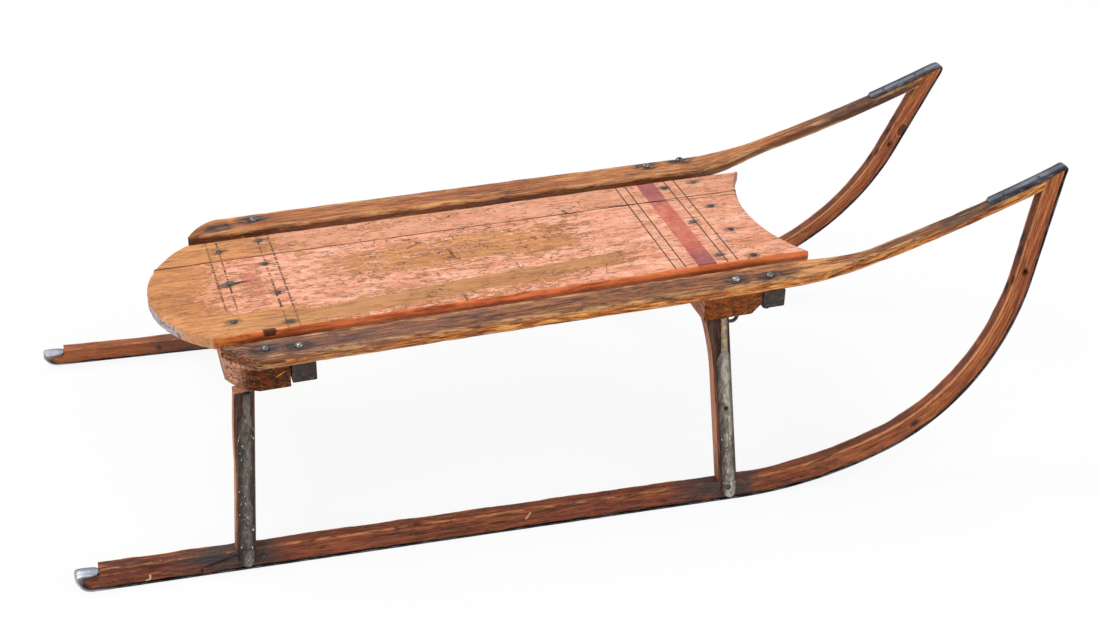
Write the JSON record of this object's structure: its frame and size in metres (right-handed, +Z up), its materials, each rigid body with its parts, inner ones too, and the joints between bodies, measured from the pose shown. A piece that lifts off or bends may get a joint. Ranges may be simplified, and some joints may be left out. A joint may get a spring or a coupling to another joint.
{
  "type": "bentwood sled",
  "caption": "Antique wooden coasting sled with bent upturned runners, iron shoes, splayed legs, side rails and a painted deck.",
  "frame": {"origin": "middle of the sled's length and width, on the ground under the runners", "axes": "+X forward, towards the upturned tips; +Y to the sled's left; +Z up"},
  "size_m": [1.0935, 0.4462, 0.3418],
  "materials": {
    "runner_wood": "old varnished ash or oak, dark red-brown, worn",
    "rail_wood": "old varnished wood, mid brown with orange edges",
    "leg_wood": "dark worn wood",
    "beam_wood": "orange-brown wood",
    "deck_paint": "salmon paint worn through to the wood, with old stripes",
    "shoe_iron": "wrought iron strip, blue-grey, polished by snow underneath",
    "brace_iron": "half-round wrought iron, grey-brown",
    "bar_wood": "plain wooden bar, stained black",
    "eye_iron": "rusty wire screw eye"
  },
  "bodies": {
    "root": {"runner_left": "runner_wood", "runner_shoe_left": "shoe_iron", "rail_left": "rail_wood", "leg_front_left": "leg_wood", "leg_rear_left": "leg_wood", "leg_brace_front_left": "brace_iron", "leg_brace_rear_left": "brace_iron", "screw_eye_left": "eye_iron", "runner_right": "runner_wood", "runner_shoe_right": "shoe_iron", "rail_right": "rail_wood", "leg_front_right": "leg_wood", "leg_rear_right": "leg_wood", "leg_brace_front_right": "brace_iron", "leg_brace_rear_right": "brace_iron", "screw_eye_right": "eye_iron", "cross_beam_front": "beam_wood", "cross_bar_front": "bar_wood", "cross_beam_rear": "beam_wood", "cross_bar_rear": "bar_wood", "deck_board_wide": "deck_paint", "deck_board_narrow": "deck_paint"}
  },
  "joints": []
}
